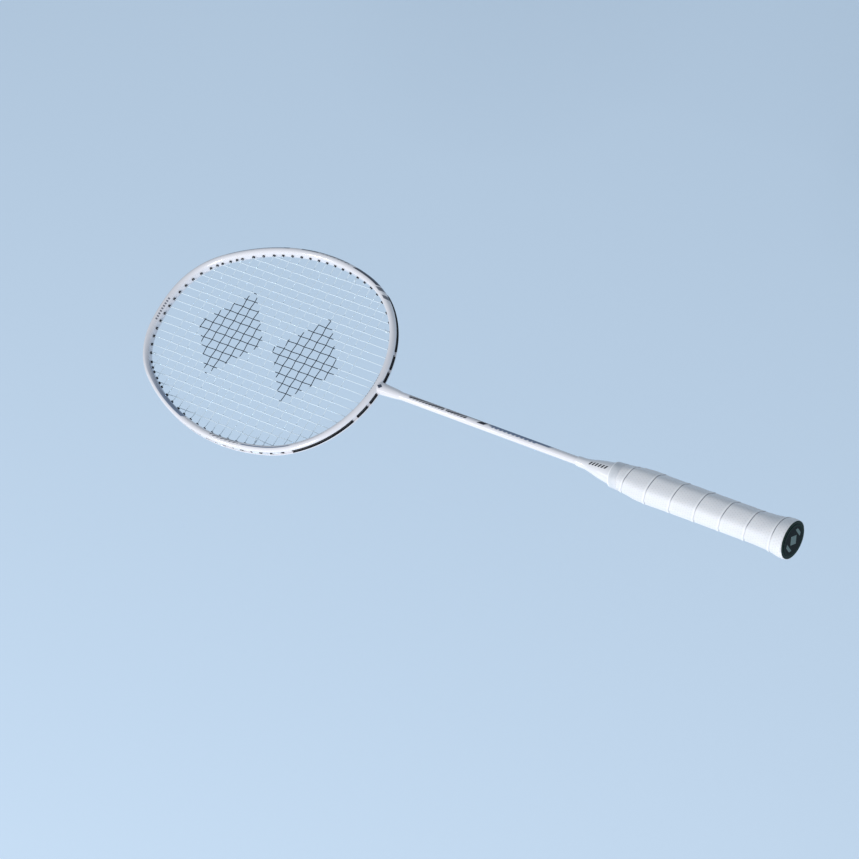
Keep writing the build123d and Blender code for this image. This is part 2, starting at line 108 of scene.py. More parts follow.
class Shade:
    """A Principled material, with short ways to add nodes to it."""

    def __init__(self, name, **sockets):
        self.material = bpy.data.materials.new(name)
        self.material.use_nodes = True
        self.tree = self.material.node_tree
        self.surface = self.tree.nodes["Principled BSDF"]
        for socket, value in sockets.items():
            self.surface.inputs[socket.replace("_", " ")].default_value = value
        self.place = self.add("ShaderNodeTexCoord").outputs["Object"]

    def add(self, kind, **settings):
        node = self.tree.nodes.new(kind)
        for name, value in settings.items():
            setattr(node, name, value)
        return node

    def feed(self, socket, value):
        """Links an output to a socket, or sets the socket to a constant."""
        if isinstance(value, bpy.types.NodeSocket):
            self.tree.links.new(value, socket)
        else:
            socket.default_value = value

    def math(self, operation, *values):
        node = self.add("ShaderNodeMath", operation=operation)
        for socket, value in zip(node.inputs, values):
            self.feed(socket, value)
        return node.outputs[0]

    def product(self, *values):
        total = values[0]
        for value in values[1:]:
            total = self.math("MULTIPLY", total, value)
        return total

    def largest(self, *values):
        total = values[0]
        for value in values[1:]:
            total = self.math("MAXIMUM", total, value)
        return total

    def axes(self, source=None):
        """x, y and z of the place, or of another vector, as three outputs."""
        node = self.add("ShaderNodeSeparateXYZ")
        self.feed(node.inputs[0], source or self.place)
        return node.outputs

    def point(self, x, y, z):
        """A vector put together from three values."""
        node = self.add("ShaderNodeCombineXYZ")
        for socket, value in zip(node.inputs, (x, y, z)):
            self.feed(socket, value)
        return node.outputs[0]

    def rise(self, value, low, high):
        """0 at low, 1 at high, smooth between and level beyond them. Low may be the larger."""
        node = self.add("ShaderNodeMapRange", interpolation_type="SMOOTHSTEP")
        self.feed(node.inputs["Value"], value)
        node.inputs["From Min"].default_value = low
        node.inputs["From Max"].default_value = high
        return node.outputs["Result"]

    def inside(self, value, low, high, soft):
        """1 between low and high, fading to 0 over soft outside them."""
        upward = self.rise(value, low - soft, low)
        downward = self.rise(value, high + soft, high)
        return self.math("MULTIPLY", upward, downward)

    def stripes(self, value, pitch, share):
        """1 over this share of every pitch along the value."""
        edge = 0.05
        place = self.math("FRACT", self.math("DIVIDE", value, pitch))
        return self.inside(place, edge, edge + share, edge)

    def distance(self, point, centre):
        node = self.add("ShaderNodeVectorMath", operation="DISTANCE")
        self.feed(node.inputs[0], point)
        node.inputs[1].default_value = centre
        return node.outputs["Value"]

    def blend(self, factor, first, second):
        """A mix of two colours: the first at factor 0, the second at 1."""
        node = self.add("ShaderNodeMix", data_type="RGBA")
        self.feed(node.inputs["Factor"], factor)
        self.feed(node.inputs["A"], first)
        self.feed(node.inputs["B"], second)
        return node.outputs["Result"]

    def stretch(self, scale):
        """The place, scaled along each axis."""
        node = self.add("ShaderNodeMapping")
        self.feed(node.inputs["Vector"], self.place)
        node.inputs["Scale"].default_value = scale
        return node.outputs["Vector"]

    def noise(self, scale, detail=3.0, source=None):
        node = self.add("ShaderNodeTexNoise")
        self.feed(node.inputs["Vector"], source or self.place)
        node.inputs["Scale"].default_value = scale
        node.inputs["Detail"].default_value = detail
        return node.outputs["Fac"]

    def cells(self, scale):
        node = self.add("ShaderNodeTexVoronoi", feature="F1")
        self.feed(node.inputs["Vector"], self.place)
        node.inputs["Scale"].default_value = scale
        return node.outputs["Distance"]

    def span(self, value, low, high):
        """A value from 0 to 1, carried to between low and high."""
        return self.math("MULTIPLY_ADD", value, high - low, low)

    def colour(self, value):
        self.feed(self.surface.inputs["Base Color"], value)

    def roughness(self, value):
        self.feed(self.surface.inputs["Roughness"], value)

    def relief(self, height, depth, strength):
        """Adds bump of this depth in metres over what is there."""
        bump = self.add("ShaderNodeBump")
        bump.inputs["Strength"].default_value = strength
        bump.inputs["Distance"].default_value = depth
        self.feed(bump.inputs["Height"], height)
        normal = self.surface.inputs["Normal"]
        if normal.links:
            self.feed(bump.inputs["Normal"], normal.links[0].from_socket)
        self.feed(normal, bump.outputs["Normal"])


def rgb(red, green, blue):
    """An opaque colour, in linear light."""
    return (red, green, blue, 1.0)


LACQUER_WHITE = rgb(0.76, 0.745, 0.77)
LACQUER_SHADE = rgb(0.71, 0.69, 0.73)
SLATE = rgb(0.030, 0.042, 0.075)
PALE_SLATE = rgb(0.16, 0.21, 0.31)
SHAFT_INK = rgb(0.010, 0.014, 0.026)

# Where the plain graphics lie, in metres from the butt face. Slanted ones are measured
# on a slanted line. A fade's two ends are where it starts and where it is full.
RIM_LINE = (0.590, 0.636)
RIM_BARS = ((0.583, 0.588), (0.553, 0.570))
RIM_TICKS = (0.517, 0.551)
SHOULDER_BAND = (0.4865, 0.518)
WEDGES = ((0.4790, 0.4842), (0.4700, 0.4738))
LEFT_LINE = (0.470, 0.512)
LEFT_TICKS = (0.517, 0.548)
LEFT_EDGE = (0.590, 0.648)
GREY_FADE_UPPER = (0.672, 0.600)
GREY_FADE_LOWER = (0.580, 0.581)
SHAFT_TICKS = ((0.351, 0.388), (0.327, 0.348))
SHAFT_THREAD = (0.298, 0.328)
SHAFT_DASH = (0.300, 0.307)
SHAFT_STRIPE = (0.234, 0.296)
SHAFT_TEETH = (0.246, 0.292)
CONE_BARS = (0.1778, 0.1972)
THROAT_MARK_Y = 419.5 * MM
THROAT_MARK_HALVES = (2.2 * MM, 2.9 * MM)
STENCIL_MIDDLES = (0.506, 0.592)
STENCIL_HALVES = (44 * MM, 38 * MM)
TIP_TICKS_X = (-0.014, 0.010)

# How far the marks' soft edges reach, and how much the slanted ones lean.
FINE_EDGE = 0.2 * MM
SLANT_EDGE = 0.4 * MM
RIGHT_LEAN = 1.8
LEFT_LEAN = 1.6
CONE_LEAN = 0.7
SHAFT_LEAN = 5 * MM

# The level above which the frame counts as its front, and how far outward of its inner
# wall the marks and the black channels start.
FRONT = (1.6 * MM, 1.9 * MM)
RIM_START = (4.2 * MM, 4.5 * MM)
BAND_START = (3.7 * MM, 4.0 * MM)
WEDGE_START = (2.7 * MM, 3.0 * MM)
CHANNEL_START = (4.4 * MM, 4.7 * MM)
EXIT_REACH = (1.7 * MM, 1.3 * MM)


def lacquer_base(shade):
    """White clear-coated lacquer: faint colour drift, orange peel and fine handling marks."""
    drift = shade.noise(14.0, 2.0)
    peel = shade.noise(900.0, 2.0)
    marks = shade.noise(1.0, 4.0, shade.stretch((2600.0, 160.0, 2600.0)))
    shade.roughness(shade.span(marks, 0.10, 0.24))
    shade.relief(peel, 0.00003, 0.5)
    return shade.blend(drift, LACQUER_WHITE, LACQUER_SHADE)


def ring_reach(shade, x, y):
    """How far outward of the frame's inner wall a place is, on either half."""
    folded = shade.point(shade.math("ABSOLUTE", x), y, 0.0)
    outward = None
    for centre, radius, _, last in RIGHT_ARCS:
        away = shade.distance(folded, (centre.x, centre.y, 0.0))
        reach = shade.math("SUBTRACT", away, radius)
        if outward is None:
            outward = reach
            continue
        top = centre.y + radius * sin(radians(last))
        mix = shade.add("ShaderNodeMix", data_type="FLOAT")
        shade.feed(mix.inputs["Factor"], shade.math("LESS_THAN", y, top))
        shade.feed(mix.inputs["A"], outward)
        shade.feed(mix.inputs["B"], reach)
        outward = mix.outputs["Result"]
    return outward


def near_an_exit(shade, x, y, z):
    """1 where a string leaves a hole on the frame's outside, on either half."""
    folded = shade.point(shade.math("ABSOLUTE", x), y, z)
    nearest = 1.0
    for angle in sorted(set(UPPER_MAINS + LOWER_MAINS + CROSS_ANGLES)):
        away = shade.distance(folded, hole_point(angle, STRING_LINE, 0.0))
        nearest = shade.math("MINIMUM", nearest, away)
    return shade.rise(nearest, *EXIT_REACH)


def diamond(shade, x, y, middle, halves, soft):
    """1 inside a diamond on the racket's centre line, with a soft edge."""
    away = shade.math("ABSOLUTE", shade.math("SUBTRACT", y, middle))
    aside = shade.math("DIVIDE", shade.math("ABSOLUTE", x), halves[0])
    along = shade.math("DIVIDE", away, halves[1])
    return shade.rise(shade.math("ADD", aside, along), 1.0, 1.0 - soft)


def throat_mark(shade):
    """A small plain diamond across the seam between the head and its joint."""
    x, y, z = shade.axes()
    mark = diamond(shade, x, y, THROAT_MARK_Y, THROAT_MARK_HALVES, 0.1)
    return shade.product(shade.rise(z, *FRONT), mark)


def right_marks(shade, y, outward, front):
    """The right front's dark marks (bars, ticks, band and wedges), and its thin pale rim line."""
    lean = shade.math("ADD", y, shade.math("MULTIPLY", outward, RIGHT_LEAN))
    rim = shade.product(front, shade.rise(outward, *RIM_START))
    bars = shade.largest(*[shade.inside(y, *bar, MM) for bar in RIM_BARS])
    ticks = shade.product(shade.stripes(lean, 4.4 * MM, 0.62), shade.inside(y, *RIM_TICKS, MM))
    band = shade.product(front, shade.rise(outward, *BAND_START),
                         shade.inside(lean, *SHOULDER_BAND, SLANT_EDGE))
    wedges = shade.largest(*[shade.inside(lean, *wedge, SLANT_EDGE) for wedge in WEDGES])
    wedges = shade.product(front, shade.rise(outward, *WEDGE_START), wedges, 0.85)
    dark = shade.largest(band, wedges, shade.product(rim, shade.largest(bars, ticks), 0.85))
    return dark, shade.product(rim, shade.inside(y, *RIM_LINE, 6 * MM), 0.6)


def left_marks(shade, y, z, outward, left):
    """The left half's dark ticks, and its pale marks (line, edge and grey fade)."""
    slope = shade.math("SUBTRACT", y, shade.math("MULTIPLY", outward, LEFT_LEAN))
    front = shade.product(left, shade.rise(z, *FRONT))
    line = shade.product(front, shade.inside(outward, 2.5 * MM, 3.3 * MM, FINE_EDGE),
                         shade.inside(y, *LEFT_LINE, 4 * MM))
    ticks = shade.product(front, shade.stripes(slope, 4.6 * MM, 0.42),
                          shade.inside(outward, 0.4 * MM, 3.2 * MM, FINE_EDGE),
                          shade.inside(y, *LEFT_TICKS, MM), 0.8)
    edge = shade.product(left, shade.rise(z, 1.9 * MM, 2.3 * MM),
                         shade.rise(outward, 1.1 * MM, 0.5 * MM),
                         shade.inside(y, *LEFT_EDGE, 6 * MM), 0.8)
    fade = shade.product(left, shade.rise(z, -1.5 * MM, -MM),
                         shade.rise(outward, 3.6 * MM, 3.2 * MM),
                         shade.rise(slope, *GREY_FADE_UPPER), shade.rise(slope, *GREY_FADE_LOWER))
    return ticks, shade.largest(line, edge, fade)


def frame_lacquer():
    """The head's lacquer, with plain slate bands, wedges and slanted ticks along its edges."""
    shade = Shade("frame_lacquer", IOR=1.5, Coat_Weight=0.5, Coat_Roughness=0.05)
    base = lacquer_base(shade)
    x, y, z = shade.axes()
    outward = ring_reach(shade, x, y)
    front = shade.rise(z, *FRONT)
    right = shade.rise(x, -MM, MM)
    right_dark, right_pale = right_marks(shade, y, outward, shade.product(front, right))
    left_dark, left_pale = left_marks(shade, y, z, outward, shade.rise(x, MM, -MM))
    tip_ticks = shade.product(front, shade.inside(outward, 0.6 * MM, 1.9 * MM, FINE_EDGE),
                              shade.stripes(x, 2.7 * MM, 0.5), shade.inside(x, *TIP_TICKS_X, MM), 0.8)
    dark = shade.blend(shade.largest(right_dark, left_dark, tip_ticks), base, SLATE)
    painted = shade.blend(shade.largest(right_pale, left_pale), dark, PALE_SLATE)
    shade.colour(shade.blend(throat_mark(shade), painted, SLATE))
    return shade.material


def joint_lacquer():
    """The throat's lacquer, with the lower half of its diamond."""
    shade = Shade("joint_lacquer", IOR=1.5, Coat_Weight=0.5, Coat_Roughness=0.05)
    shade.colour(shade.blend(throat_mark(shade), lacquer_base(shade), SLATE))
    return shade.material


def sector(shade, around, first, last, soft=0.04):
    """1 between two angles in degrees round the shaft, fading over soft radians outside them."""
    return shade.inside(around, radians(first), radians(last), soft)


def shaft_lacquer():
    """The shaft's lacquer: dark slanted ticks, a dark line and dash, and a toothed grey-blue stripe."""
    shade = Shade("shaft_lacquer", IOR=1.5, Specular_IOR_Level=0.3, Coat_Weight=0.2, Coat_Roughness=0.05)
    base = lacquer_base(shade)
    x, y, z = shade.axes()
    around = shade.math("ARCTAN2", z, x)
    lean = shade.math("ADD", y, shade.math("MULTIPLY", around, -SHAFT_LEAN))
    rows = shade.largest(*[shade.inside(y, *row, MM) for row in SHAFT_TICKS])
    ticks = shade.product(sector(shade, around, 50, 94, 0.06), rows, shade.stripes(lean, 3.4 * MM, 0.66))
    thread = shade.product(sector(shade, around, 40, 54), shade.inside(y, *SHAFT_THREAD, MM), 0.6)
    dash = shade.product(sector(shade, around, 52, 92), shade.inside(lean, *SHAFT_DASH, SLANT_EDGE))
    stripe = shade.product(sector(shade, around, 34, 76), shade.inside(lean, *SHAFT_STRIPE, MM))
    teeth = shade.product(sector(shade, around, 70, 90), shade.inside(lean, *SHAFT_TEETH, MM),
                          shade.stripes(lean, 4.4 * MM, 0.6))
    dark = shade.blend(shade.largest(ticks, dash, thread), base, SHAFT_INK)
    shade.colour(shade.blend(shade.largest(stripe, teeth), dark, PALE_SLATE))
    return shade.material


def cone_plastic():
    """Glossy white moulded plastic with a parting line along each side and a row of dark bars."""
    shade = Shade("cone_plastic", IOR=1.49, Coat_Weight=0.4, Coat_Roughness=0.06)
    x, y, z = shade.axes()
    drift = shade.noise(30.0, 2.0)
    shade.roughness(shade.span(shade.noise(320.0), 0.14, 0.28))
    base = shade.blend(drift, rgb(0.78, 0.77, 0.79), rgb(0.73, 0.725, 0.76))
    slope = shade.math("ADD", y, shade.math("MULTIPLY", x, CONE_LEAN))
    bars = shade.product(shade.rise(z, 0.0, 0.5 * MM), shade.inside(x, -1.3 * MM, 1.5 * MM, 0.15 * MM),
                         shade.stripes(slope, 3.3 * MM, 0.5), shade.inside(slope, *CONE_BARS, 0.1 * MM))
    shade.colour(shade.blend(bars, base, rgb(0.02, 0.02, 0.025)))
    parting = shade.inside(z, -0.06 * MM, 0.06 * MM, 0.1 * MM)
    shade.relief(parting, 0.00008, 0.6)
    shade.relief(shade.noise(700.0, 2.0), 0.00002, 0.5)
    return shade.material


def tape_pores(shade, along, across):
    """1 in the tape's pores, which stand in staggered rows away from its edges."""
    row = shade.math("FLOOR", shade.math("DIVIDE", across, PORE_PITCH))
    shift = shade.math("MULTIPLY", row, 0.5)
    shifted = shade.math("ADD", shade.math("DIVIDE", along, PORE_PITCH), shift)
    side = shade.math("SUBTRACT", shade.math("FRACT", shifted), 0.5)
    up = shade.math("SUBTRACT", shade.math("FRACT", shade.math("DIVIDE", across, PORE_PITCH)), 0.5)
    squares = shade.math("ADD", shade.math("MULTIPLY", side, side), shade.math("MULTIPLY", up, up))
    pore = shade.rise(shade.math("SQRT", squares), 0.17, 0.09)
    field = shade.inside(across, 3.0 * MM, TAPE_PITCH - 2.0 * MM, 0.5 * MM)
    return shade.math("MULTIPLY", pore, field)


def painted_seam_shade(shade, across):
    """Painted shade in the tape's seams: darker toward +X and at the back, fainter on the front of -X.
    """
    x, _, z = shade.axes()
    near = shade.rise(across, 0.6 * MM, 0.1 * MM)
    far = shade.rise(across, TAPE_PITCH - 0.4 * MM, TAPE_PITCH)
    right = shade.rise(x, -11 * MM, -2 * MM)
    back = shade.product(shade.rise(z, MM, -4 * MM), 0.7)
    shown = shade.span(shade.largest(right, back), 0.18, 0.95)
    return shade.math("MULTIPLY", shade.largest(near, far), shown)


def grip_foam():
    """Soft white polyurethane: pores in rows along the tape with painted shade in them, fine grain, a
    painted highlight beside each seam, and painted shade in the seams.
    """
    shade = Shade("grip_foam", IOR=1.45, Sheen_Weight=0.25, Sheen_Roughness=0.5, Subsurface_Weight=0.08)
    shade.surface.inputs["Subsurface Radius"].default_value = (0.0015, 0.0012, 0.001)
    tape = shade.add("ShaderNodeUVMap", uv_map="tape").outputs["UV"]
    along, across, _ = shade.axes(tape)
    pores = tape_pores(shade, along, across)
    base = shade.blend(shade.noise(70.0), rgb(0.77, 0.765, 0.78), rgb(0.70, 0.70, 0.73))
    # Painted shade: the pores are painted darker, as shade falls in them.
    pore_shaded = shade.blend(shade.math("MULTIPLY", pores, 0.3), base, rgb(0.36, 0.37, 0.40))
    # Painted highlight: a pale line along each turn's lapped edge, beside its seam.
    lap_highlight = shade.inside(across, 1.0 * MM, 1.6 * MM, 0.3 * MM)
    highlighted = shade.blend(shade.math("MULTIPLY", lap_highlight, 0.6), pore_shaded, rgb(0.88, 0.88, 0.89))
    # The seams are painted with shade, strongest toward +X and at the back.
    shade.colour(shade.blend(painted_seam_shade(shade, across), highlighted, rgb(0.07, 0.085, 0.12)))
    shade.roughness(shade.span(shade.noise(800.0), 0.42, 0.62))
    shade.relief(shade.cells(1500.0), 0.00006, 0.5)
    shade.relief(shade.noise(160.0, 2.0), 0.00025, 0.5)
    shade.relief(shade.math("SUBTRACT", 1.0, pores), 0.00025, 0.8)
    return shade.material


def finishing_tape():
    """Thin silvery-white stretch tape with a fine woven rib and a paler top edge."""
    shade = Shade("finishing_tape", IOR=1.45, Sheen_Weight=0.1)
    y = shade.axes()[1]
    rib = shade.math("SINE", shade.math("MULTIPLY", y, tau / (0.45 * MM)))
    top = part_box("grip_finishing_tape")[1].y
    ring = shade.rise(y, top - 1.2 * MM, top - 0.9 * MM)
    tape = shade.blend(shade.noise(150.0), rgb(0.50, 0.52, 0.56), rgb(0.76, 0.765, 0.79))
    shade.colour(shade.blend(ring, tape, rgb(0.84, 0.84, 0.86)))
    shade.roughness(shade.span(shade.noise(900.0), 0.32, 0.5))
    shade.relief(rib, 0.00003, 0.5)
    shade.relief(shade.noise(1600.0), 0.00004, 0.5)
    return shade.material


def butt_plastic():
    """Dark green-black moulded plastic with a fine grain."""
    shade = Shade("butt_plastic", IOR=1.4, Specular_IOR_Level=0.2)
    shade.colour(shade.blend(shade.noise(120.0), rgb(0.001, 0.012, 0.007), rgb(0.002, 0.020, 0.011)))
    shade.roughness(shade.span(shade.noise(600.0), 0.25, 0.4))
    shade.relief(shade.noise(1400.0), 0.00003, 0.6)
    return shade.material


def badge_enamel():
    """Near-black enamel with a green ring just inside its edge."""
    shade = Shade("badge_enamel", IOR=1.4, Specular_IOR_Level=0.1)
    x, _, z = shade.axes()
    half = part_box("butt_badge")[1]
    oval = shade.point(shade.math("DIVIDE", x, half.x), 0.0, shade.math("DIVIDE", z, half.z))
    reach = shade.distance(oval, (0.0, 0.0, 0.0))
    ring = shade.inside(reach, 0.86, 0.955, 0.01)
    fleck = shade.cells(2500.0)
    dark = shade.blend(fleck, rgb(0.0015, 0.004, 0.0035), rgb(0.003, 0.008, 0.007))
    shade.colour(shade.blend(ring, dark, rgb(0.002, 0.016, 0.011)))
    shade.roughness(shade.span(shade.noise(500.0), 0.22, 0.34))
    shade.relief(ring, 0.00010, 0.7)
    shade.relief(shade.noise(900.0), 0.00002, 0.4)
    return shade.material


def emblem_ink():
    """Grey-green satin print."""
    shade = Shade("emblem_ink", IOR=1.4, Specular_IOR_Level=0.3)
    shade.colour(shade.blend(shade.noise(700.0), rgb(0.10, 0.15, 0.145), rgb(0.14, 0.195, 0.185)))
    shade.roughness(shade.span(shade.noise(1500.0), 0.25, 0.45))
    shade.relief(shade.noise(2500.0), 0.00002, 0.5)
    return shade.material


def stencil(shade, x, y):
    """1 where ink lies on the strings: two plain diamonds, with small gaps in the ink."""
    inks = [diamond(shade, x, y, middle, STENCIL_HALVES, 0.015) for middle in STENCIL_MIDDLES]
    return shade.math("MULTIPLY", shade.largest(*inks), shade.rise(shade.noise(420.0), 0.26, 0.32))


def string_nylon(name, transmission, pale, paler):
    """Nylon with a fine twisted jacket: dark where the stencil lay and in the heads of black grommets,
    with painted shade in the black channels.
    """
    shade = Shade(name, IOR=1.45, Transmission_Weight=transmission, Specular_IOR_Level=0.05)
    x, y, z = shade.axes()
    lay = shade.math("ADD", shade.math("ADD", x, y), shade.math("MULTIPLY", z, 2.0))
    twist = shade.math("SINE", shade.math("MULTIPLY", lay, tau / (0.7 * MM)))
    # Painted shade: the string is painted nearly black where it lies in the black channels beside the
    # throat.
    outside = shade.rise(ring_reach(shade, x, y), *CHANNEL_START)
    strip_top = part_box("lower_strip_left")[1].y
    channel_shade = shade.product(outside, shade.rise(y, strip_top, strip_top - MM), 0.95)
    # It is as dark where it lies in the head of a black grommet.
    exits = shade.product(near_an_exit(shade, x, y, z), 0.95)
    milk = shade.blend(shade.noise(90.0), pale, paler)
    dark = shade.largest(stencil(shade, x, y), channel_shade, exits)
    shade.colour(shade.blend(dark, milk, rgb(0.006, 0.010, 0.016)))
    shade.roughness(shade.span(shade.noise(1200.0), 0.62, 0.74))
    shade.relief(twist, 0.000005, 0.3)
    return shade.material


def grommet_nylon():
    """Black moulded nylon with a soft grain."""
    shade = Shade("grommet_nylon", IOR=1.5, Specular_IOR_Level=0.4)
    shade.colour(shade.blend(shade.noise(300.0), rgb(0.010, 0.010, 0.012), rgb(0.022, 0.022, 0.026)))
    shade.roughness(shade.span(shade.noise(1100.0), 0.35, 0.55))
    shade.relief(shade.noise(2200.0), 0.00003, 0.5)
    return shade.material


def handle_wood():
    """Raw pale wood with its grain along the handle."""
    shade = Shade("handle_wood", IOR=1.45)
    grain = shade.noise(1.0, 6.0, shade.stretch((700.0, 25.0, 700.0)))
    shade.colour(shade.blend(grain, rgb(0.42, 0.27, 0.14), rgb(0.70, 0.52, 0.32)))
    shade.roughness(shade.span(grain, 0.55, 0.75))
    shade.relief(grain, 0.0001, 0.5)
    return shade.material


# ------------------------------------------------------------------- the ring

def heading(angle):
    """The unit vector at an angle in degrees."""
    return Vector((cos(radians(angle)), sin(radians(angle)), 0))


def right_arcs():
    """The frame's inner wall on the right half, as (centre, radius, first angle, last angle)."""
    tip_centre = Vector((0, HEAD_TIP - FRAME_THICK - TIP_RADIUS, 0))
    shoulder_centre = tip_centre + heading(TIP_END) * (TIP_RADIUS - SHOULDER_RADIUS)
    side_centre = shoulder_centre + heading(SHOULDER_END) * (SHOULDER_RADIUS - SIDE_RADIUS)
    toward = heading(SIDE_END)
    lower_radius = SIDE_RADIUS + side_centre.x / toward.x
    lower_centre = side_centre + toward * (SIDE_RADIUS - lower_radius)
    return (
        (tip_centre, TIP_RADIUS, TIP_END, 90.0),
        (shoulder_centre, SHOULDER_RADIUS, SHOULDER_END, TIP_END),
        (side_centre, SIDE_RADIUS, SIDE_END, SHOULDER_END),
        (lower_centre, lower_radius, -90.0, SIDE_END),
    )


RIGHT_ARCS = right_arcs()
LOWER_RADIUS = RIGHT_ARCS[3][1]


def mirrored(point):
    """The same point on the other half."""
    return Vector((-point.x, point.y, point.z))


def ring_point(angle, outward, level=0.0):
    """The point outward from the wall where the wall's normal has this angle, -90 to 270."""
    folded = angle if angle <= 90 else 180 - angle
    for centre, radius, first, last in RIGHT_ARCS:
        if first <= folded <= last:
            break
    reach = radius + outward
    x = centre.x + reach * cos(radians(folded))
    y = centre.y + reach * sin(radians(folded))
    point = Vector((x, y, level))
    return point if angle <= 90 else mirrored(point)


def angle_at_x(x, lower=False):
    """The normal's angle where the wall has this x, on the upper or the lower side."""
    for centre, radius, first, last in RIGHT_ARCS:
        cosine = (x - centre.x) / radius
        if abs(cosine) <= 1:
            angle = degrees(acos(cosine)) * (-1 if lower else 1)
            if first <= angle <= last:
                return angle


def angle_at_y(y):
    """The normal's angle where the wall has this y, on the right half."""
    for centre, radius, first, last in RIGHT_ARCS:
        sine = (y - centre.y) / radius
        if abs(sine) <= 1 and first <= degrees(asin(sine)) <= last:
            return degrees(asin(sine))


def cross_heights():
    """The y of the crosses from the tip down, without the last two."""
    heights = [FOURTH_CROSS_Y - CROSS_PITCH * step for step in range(CROSSES - 5)]
    for gap in TOP_CROSS_GAPS:
        heights.insert(0, heights[0] + gap)
    return heights


def hole_angles():
    """The normals' angles at the mains' upper and lower holes and at the crosses' holes."""
    places = [MAIN_HALF_GAP + MAIN_PITCH * step for step in range(MAINS_PER_HALF)]
    upper = [angle_at_x(x) for x in places]
    lower = [angle_at_x(x, lower=True) for x in places]
    crosses = [angle_at_y(y) for y in cross_heights()]
    # These crosses leave by the same hole as a main, and so do the last two.
    lower[-1] = crosses[17]
    crosses[3] = upper[9]
    crosses[5] = upper[10]
    return upper, lower, crosses + [lower[9], lower[8]]


UPPER_MAINS, LOWER_MAINS, CROSS_ANGLES = hole_angles()
MAIN_TIE = CROSS_ANGLES[15]
UPPER_CROSS_TIE = UPPER_MAINS[5]
LOWER_CROSS_TIE = LOWER_MAINS[6]


def exit_angle(angle):
    """The angle at which a hole meets the groove: the holes beside the throat lean away from it."""
    folded = angle if angle <= 90 else 180 - angle
    for hole, x in zip(LOWER_MAINS, THROAT_EXIT_X):
        if abs(folded - hole) < 0.01:
            folded = -degrees(acos(x / (LOWER_RADIUS + GROOVE_FLOOR)))
    return folded if angle <= 90 else 180 - folded


def hole_point(angle, distance, level):
    """A point on a hole's axis, outward from the inner wall."""
    mouth = ring_point(angle, 0)
    floor = ring_point(exit_angle(angle), GROOVE_FLOOR)
    point = mouth + (floor - mouth) * (distance / GROOVE_FLOOR)
    return Vector((point.x, point.y, level))


# -------------------------------------------------------------------- strings

def passage(angle, level):
    """The way out through a hole, with close points so that the string bends tightly at each end."""
    places = (MOUTH_BEND, MOUTH_BEND + 0.9 * MM, STRING_LINE - MM, STRING_LINE)
    return [hole_point(angle, place, level) for place in places]


def groove_run(first, last, level):
    """Points along the groove, close to each exit and evenly spaced between."""
    start, end = exit_angle(first), exit_angle(last)
    length = (ring_point(start, STRING_LINE) - ring_point(end, STRING_LINE)).length
    near = MM / length
    steps = ceil(length / GROOVE_STEP)
    shares = [near] + [step / steps for step in range(1, steps)] + [1 - near]
    return [ring_point(start + (end - start) * share, STRING_LINE, level) for share in shares]


def loop(first, last, level):
    """The way out through one hole, along the groove and in through the next."""
    return passage(first, level) + groove_run(first, last, level) + passage(last, level)[::-1]


def main_lines():
    """Each main's two mouths, from the far left to the far right."""
    right = []
    for upper, lower in zip(UPPER_MAINS, LOWER_MAINS):
        right.append((hole_point(upper, MOUTH_BEND, 0), hole_point(lower, MOUTH_BEND, 0)))
    return [(mirrored(top), mirrored(bottom)) for top, bottom in right[::-1]] + right


def cross_lines():
    """Each cross's two mouths, from the tip down."""
    right = [hole_point(angle, MOUTH_BEND, 0) for angle in CROSS_ANGLES]
    return [(mirrored(mouth), mouth) for mouth in right]


MAIN_LINES = main_lines()
CROSS_LINES = cross_lines()


def crossing(row, number, side):
    """Where a cross meets a main, on one side of the string bed, or None if they don't meet."""
    left, right = CROSS_LINES[row]
    top, bottom = MAIN_LINES[number]
    share = (left.y - top.y) / (bottom.y - top.y)
    x = top.x + (bottom.x - top.x) * share
    if 0 < share < 1 and abs(x) < right.x:
        return Vector((x, left.y, 2 * WEAVE * side))
    return None


def main_weave(number):
    """The crossings on one main, tip first: over one cross, under the next."""
    met = [crossing(row, number, 1 if (number + row) % 2 else -1) for row in range(CROSSES)]
    return [point for point in met if point is not None]


def cross_weave(row):
    """The crossings on one cross, left first."""
    met = [crossing(row, number, -1 if (number + row) % 2 else 1) for number in range(len(MAIN_LINES))]
    return [point for point in met if point is not None]


KNOT_TURNS = 2.75
KNOT_STEPS = 8
KNOT_RADIUS = 0.76 * MM
KNOT_PITCH = 0.76 * MM
KNOT_START = 1.6 * MM
KNOT_TAIL = ((1.2 * MM, 0.5 * MM), (1.6 * MM, 0.3 * MM))


def coil(start, axis):
    """Control points of a few tight turns round an axis, followed by a short cut tail."""
    first = Vector((0, 0, 1)) if start.z > 0 else Vector((0, 0, -1))
    second = axis.cross(first)
    points = []
    for step in range(round(KNOT_TURNS * KNOT_STEPS) + 1):
        turn = tau * step / KNOT_STEPS
        spoke = first * cos(turn) + second * sin(turn)
        points.append(start + axis * (KNOT_PITCH * step / KNOT_STEPS) + spoke * KNOT_RADIUS)
    for onward, aside in KNOT_TAIL:
        points.append(points[-1] + axis * onward + spoke * aside)
    return points


def knot(angle, level, axis):
    """A string's end: out of its tie-off hole and round the string beside it."""
    mouth = hole_point(angle, MOUTH_BEND, level)
    start = hole_point(angle, MOUTH_BEND, -level) + axis * KNOT_START
    return [mouth] + coil(start, axis)


def right_half_route(level):
    """The string over the right half's mains, from the tip's middle to the tie-off hole."""
    half = passage(UPPER_MAINS[0], level)[::-1]
    for step in range(MAINS_PER_HALF - 1):
        downward = step % 2 == 0
        holes = LOWER_MAINS if downward else UPPER_MAINS
        crossings = main_weave(MAINS_PER_HALF + step)
        half += crossings if downward else crossings[::-1]
        half += loop(holes[step], holes[step + 1], level)
    half += main_weave(2 * MAINS_PER_HALF - 1)
    return half + loop(LOWER_MAINS[-1], MAIN_TIE, level)


def other_half(points):
    """The same route on the left half, where the weave is shifted by one."""
    other = []
    for point in points:
        # A crossing's side is turned over.
        woven = abs(abs(point.z) - 2 * WEAVE) < 1e-6
        other.append(Vector((-point.x, point.y, -point.z if woven else point.z)))
    return other


